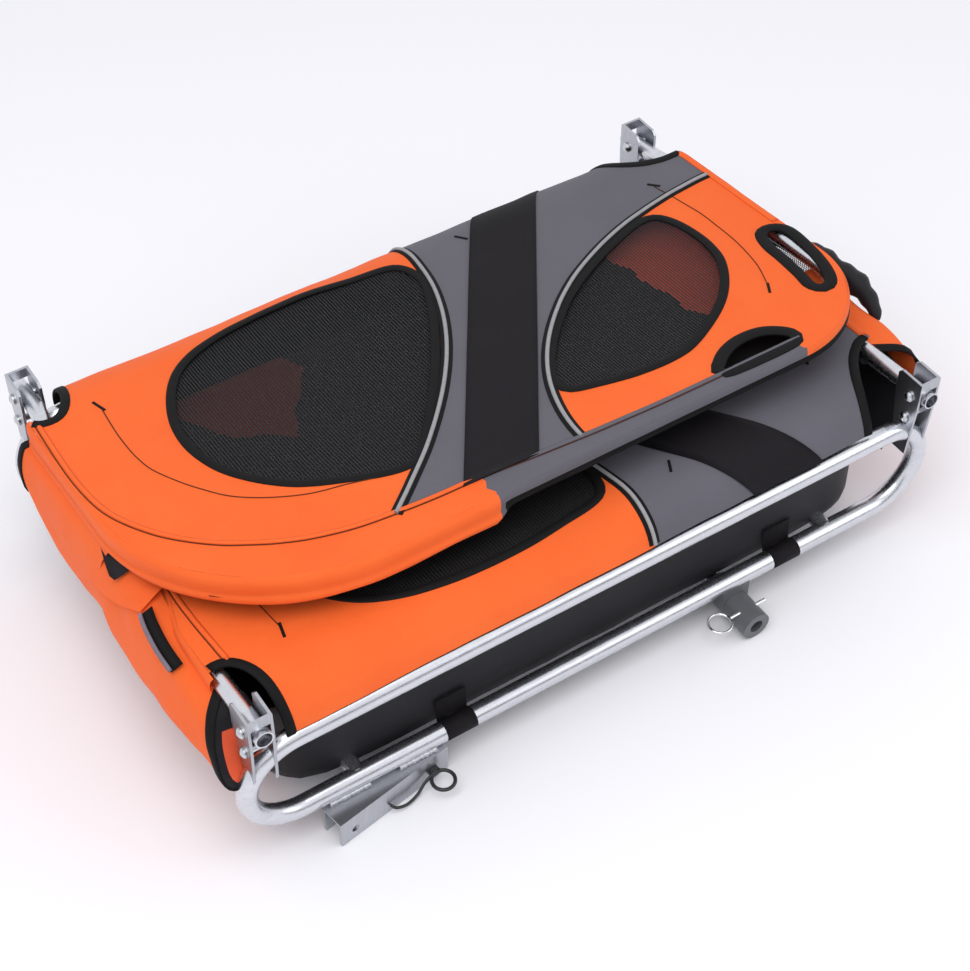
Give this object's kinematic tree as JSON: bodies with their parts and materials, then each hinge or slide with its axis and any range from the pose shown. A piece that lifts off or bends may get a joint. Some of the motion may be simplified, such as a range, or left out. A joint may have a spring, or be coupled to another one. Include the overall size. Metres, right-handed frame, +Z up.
{
  "type": "folded pet bike trailer without wheels or tow arm",
  "caption": "Folding pet trailer body lying flat: tube base loops, hinged side hoops with orange cloth and mesh panels, cloth floor tray, axle sockets and tow channels.",
  "frame": {"origin": "middle of the base on the floor", "axes": "+X forward in the towing direction, +Y to the trailer's left, +Z up"},
  "size_m": [0.89, 0.61, 0.2716],
  "materials": {
    "base_tube": "zinc-plated tube, bright with soft streaks",
    "bracket_steel": "zinc-plated bent sheet",
    "bolt_steel": "plated bolts with domed nuts",
    "hoop_tube": "zinc-plated tube",
    "channel_steel": "zinc-plated channel, welded on",
    "lock_pin": "black coated pull ring",
    "socket_dark": "dark grey satin socket",
    "clip_chrome": "bright spring wire",
    "tray_fabric": "black coated cloth, smooth side out",
    "webbing": "black woven webbing",
    "orange_fabric": "orange plain-weave coated cloth with grey bands",
    "mesh_black": "black open mesh",
    "grey_fabric": "grey plain-weave coated cloth",
    "drape_black": "black mesh and cloth"
  },
  "bodies": {
    "base": {"side_loop_left": "base_tube", "side_loop_right": "base_tube", "cross_tubes": "base_tube", "axle_tube": "base_tube", "bracket_front_left": "bracket_steel", "bracket_rear_left": "bracket_steel", "bracket_front_right": "bracket_steel", "bracket_rear_right": "bracket_steel", "hinge_bolts": "bolt_steel", "bracket_bolts": "bolt_steel", "tow_channel_left": "channel_steel", "tow_channel_right": "channel_steel", "tow_pins": "lock_pin", "axle_socket_left": "socket_dark", "axle_socket_right": "socket_dark", "axle_clips": "clip_chrome", "floor_tray": "tray_fabric", "floor_straps": "webbing", "skirt_left": "orange_fabric", "skirt_right": "orange_fabric", "front_drape": "orange_fabric", "rear_drape": "drape_black"},
    "left_frame": {"hoop_left": "hoop_tube", "panel_left": "orange_fabric", "mesh_left": "mesh_black"},
    "right_frame": {"hoop_right": "hoop_tube", "panel_right": "orange_fabric", "mesh_right": "mesh_black", "roof_cover": "grey_fabric"}
  },
  "joints": [
    {"name": "right_fold", "type": "hinge", "parent": "base", "child": "right_frame", "pos_m": [0, -0.256, 0.208], "axis": [1, 0, 0], "range_deg": [0, 83.5], "deforming": ["panel_right", "mesh_right", "roof_cover"]},
    {"name": "left_fold", "type": "hinge", "parent": "base", "child": "left_frame", "pos_m": [0, 0.256, 0.208], "axis": [-1, 0, 0], "range_deg": [0, 95], "deforming": ["panel_left", "mesh_left"]}
  ],
  "couplings": [
    {"joint": "left_fold", "follows": "right_fold", "ratio": 1.1377}
  ]
}
